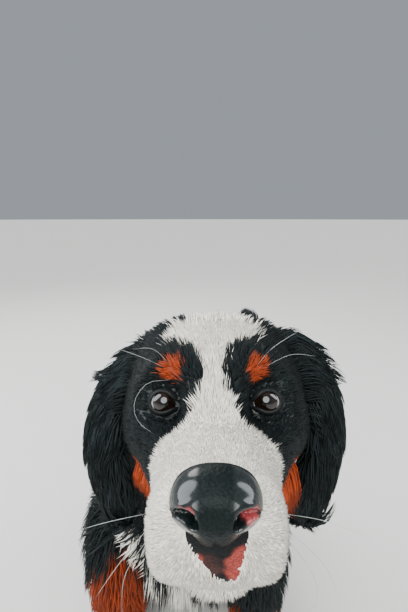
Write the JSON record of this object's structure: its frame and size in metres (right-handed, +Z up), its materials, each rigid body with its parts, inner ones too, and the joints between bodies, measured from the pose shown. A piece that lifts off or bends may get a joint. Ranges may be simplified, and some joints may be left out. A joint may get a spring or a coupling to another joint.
{
  "type": "bernese mountain dog",
  "caption": "Life-size model of a young Bernese mountain dog that sits with its head lifted, in a long three-coloured coat.",
  "frame": {"origin": "on the floor, under the middle of the bounding box", "axes": "+Z up, -Y the way that the dog faces, +X its own left side"},
  "size_m": [0.2696, 0.706, 0.5076],
  "materials": {
    "coat_black": "soft long hair, slightly glossy",
    "coat_white": "soft hair",
    "coat_rust": "soft hair",
    "nose_leather": "moist, finely pebbled skin",
    "lip_skin": "bare skin",
    "eye": "wet gloss",
    "claw": "smooth horn"
  },
  "bodies": {
    "root": {"head": "coat_black", "lower_jaw": "coat_white", "nose": "nose_leather", "eye_left": "eye", "eye_right": "eye", "ear_left": "coat_black", "ear_right": "coat_black", "neck": "coat_black", "torso": "coat_black", "upper_arm_left": "coat_black", "upper_arm_right": "coat_black", "forearm_left": "coat_rust", "forearm_right": "coat_rust", "front_paw_left": "coat_white", "front_paw_right": "coat_white", "thigh_left": "coat_black", "thigh_right": "coat_black", "rear_pastern_left": "coat_rust", "rear_pastern_right": "coat_rust", "hind_paw_left": "coat_white", "hind_paw_right": "coat_white", "tail_root": "coat_black", "tail_tip": "coat_white"}
  },
  "joints": []
}
